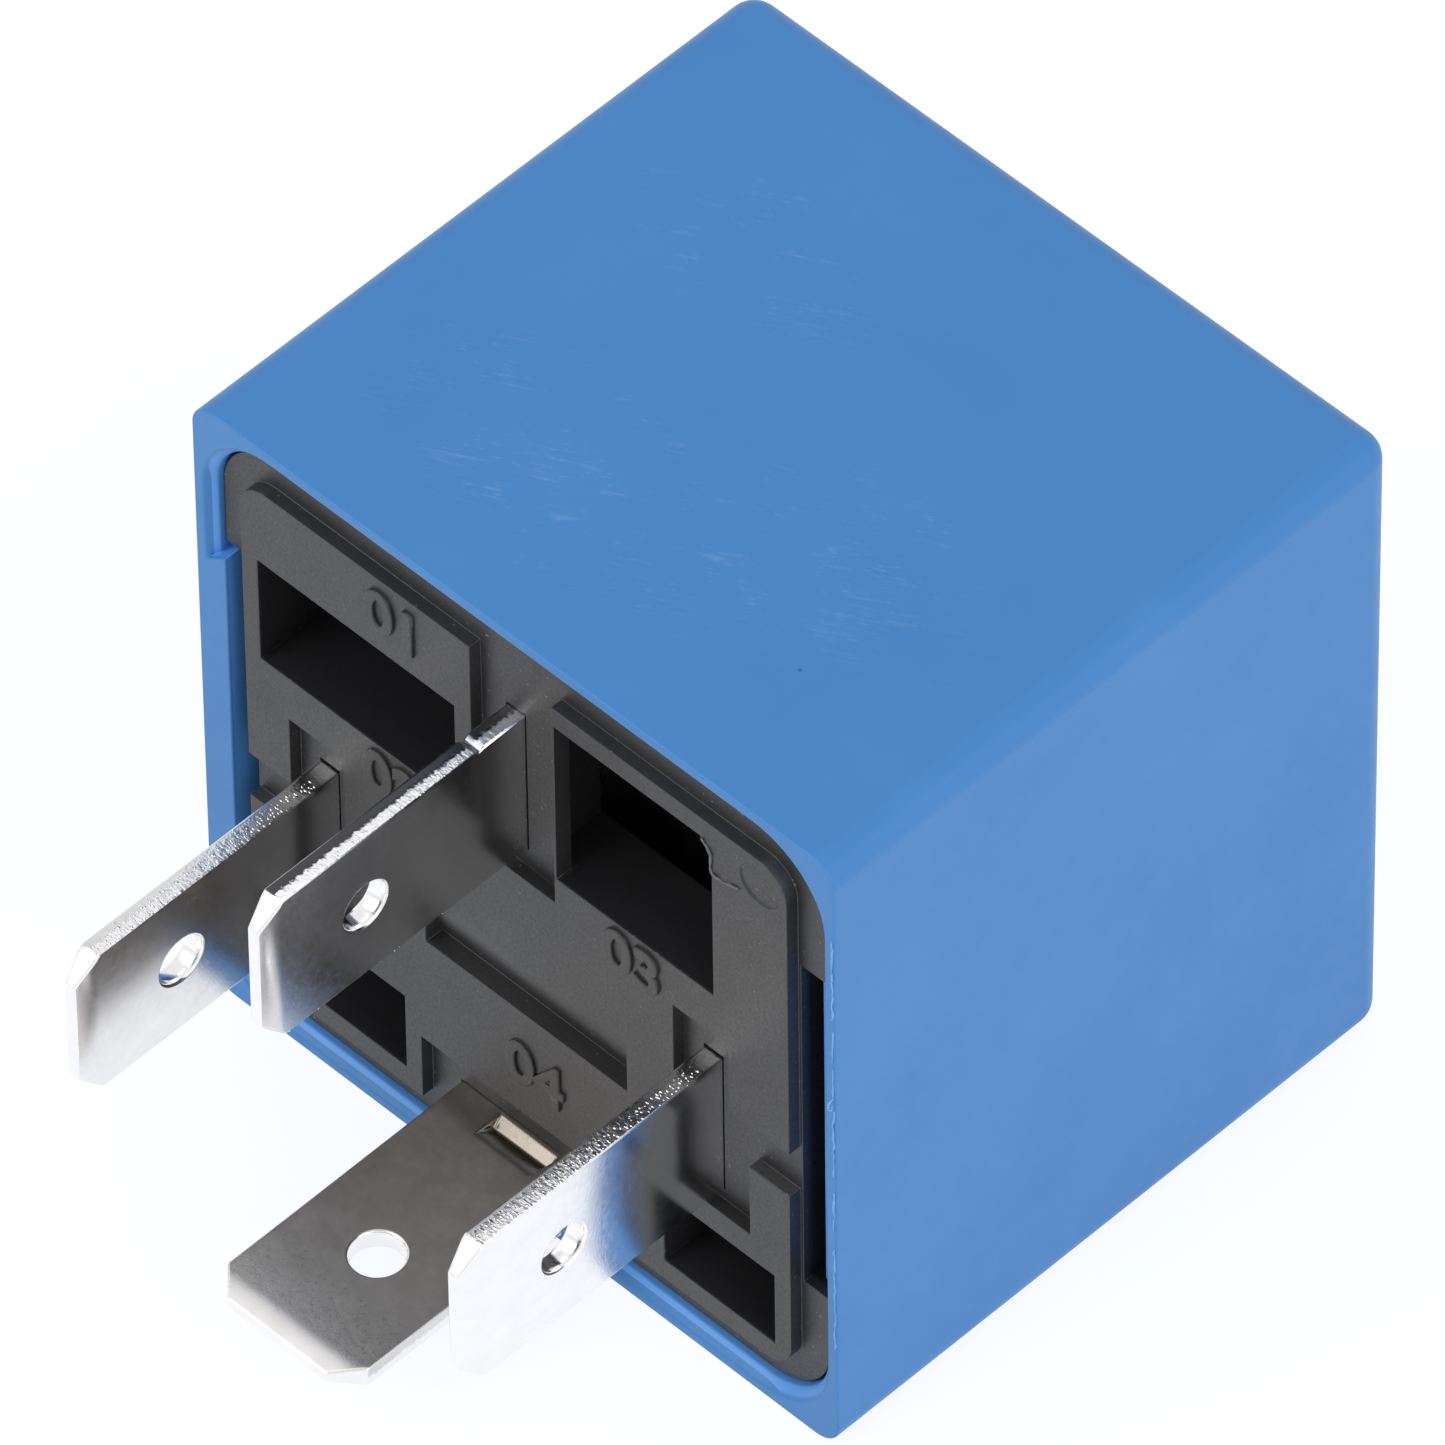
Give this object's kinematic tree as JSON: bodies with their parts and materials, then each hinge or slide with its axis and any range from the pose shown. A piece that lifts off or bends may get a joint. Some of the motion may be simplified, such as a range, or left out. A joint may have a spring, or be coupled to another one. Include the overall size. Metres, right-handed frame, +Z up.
{
  "type": "plug-in relay",
  "caption": "Box-shaped plug-in relay with a smooth plastic cover, blade terminals on its plug face, and a coil that closes a hinged switching contact inside.",
  "frame": {"origin": "centre of the plug face, in the plane of the cover's rim", "axes": "-Y out of the plug face along the blades, +Y into the cover, +Z up with the relay lying on its side, +X along the plug face so that the normally open blade is the lowest"},
  "size_m": [0.028, 0.036, 0.0278],
  "materials": {
    "cover_plastic": "satin moulded blue plastic with fine scratches",
    "base_plastic": "matte black glass-filled plastic with a spark-eroded texture",
    "tinned_blade": "bright tin plate over brass, sheared edges",
    "soft_iron": "dull zinc-plated soft iron",
    "spring_copper": "satin copper alloy leaf",
    "silver_contact": "turned silver alloy",
    "bobbin_plastic": "natural moulded plastic",
    "coil_copper": "enamelled copper wire",
    "coil_tape": "amber film tape",
    "solder": "soft solder, slightly grained"
  },
  "bodies": {
    "housing": {"cover": "cover_plastic", "base": "base_plastic", "terminal_common": "tinned_blade", "terminal_coil_left": "tinned_blade", "terminal_coil_right": "tinned_blade", "terminal_normally_open": "tinned_blade", "fixed_contact": "silver_contact", "back_stop": "spring_copper", "yoke": "soft_iron", "core": "soft_iron", "bobbin": "bobbin_plastic", "coil_winding": "coil_copper", "coil_tape": "coil_tape", "hinge_spring": "spring_copper", "hinge_rivets": "soft_iron", "coil_lead_left": "coil_copper", "coil_lead_right": "coil_copper", "solder_joint_left": "solder", "solder_joint_right": "solder"},
    "armature_assembly": {"armature": "soft_iron", "contact_spring": "spring_copper", "armature_rivets": "soft_iron", "moving_contact": "silver_contact"}
  },
  "joints": [
    {"name": "armature_hinge", "type": "hinge", "parent": "housing", "child": "armature_assembly", "pos_m": [0, 0.01945, 0.0108], "axis": [-1, 0, 0], "range_deg": [0, 2.3], "stiffness_Nm_per_rad": 0.02, "springref_deg": -2.86}
  ]
}
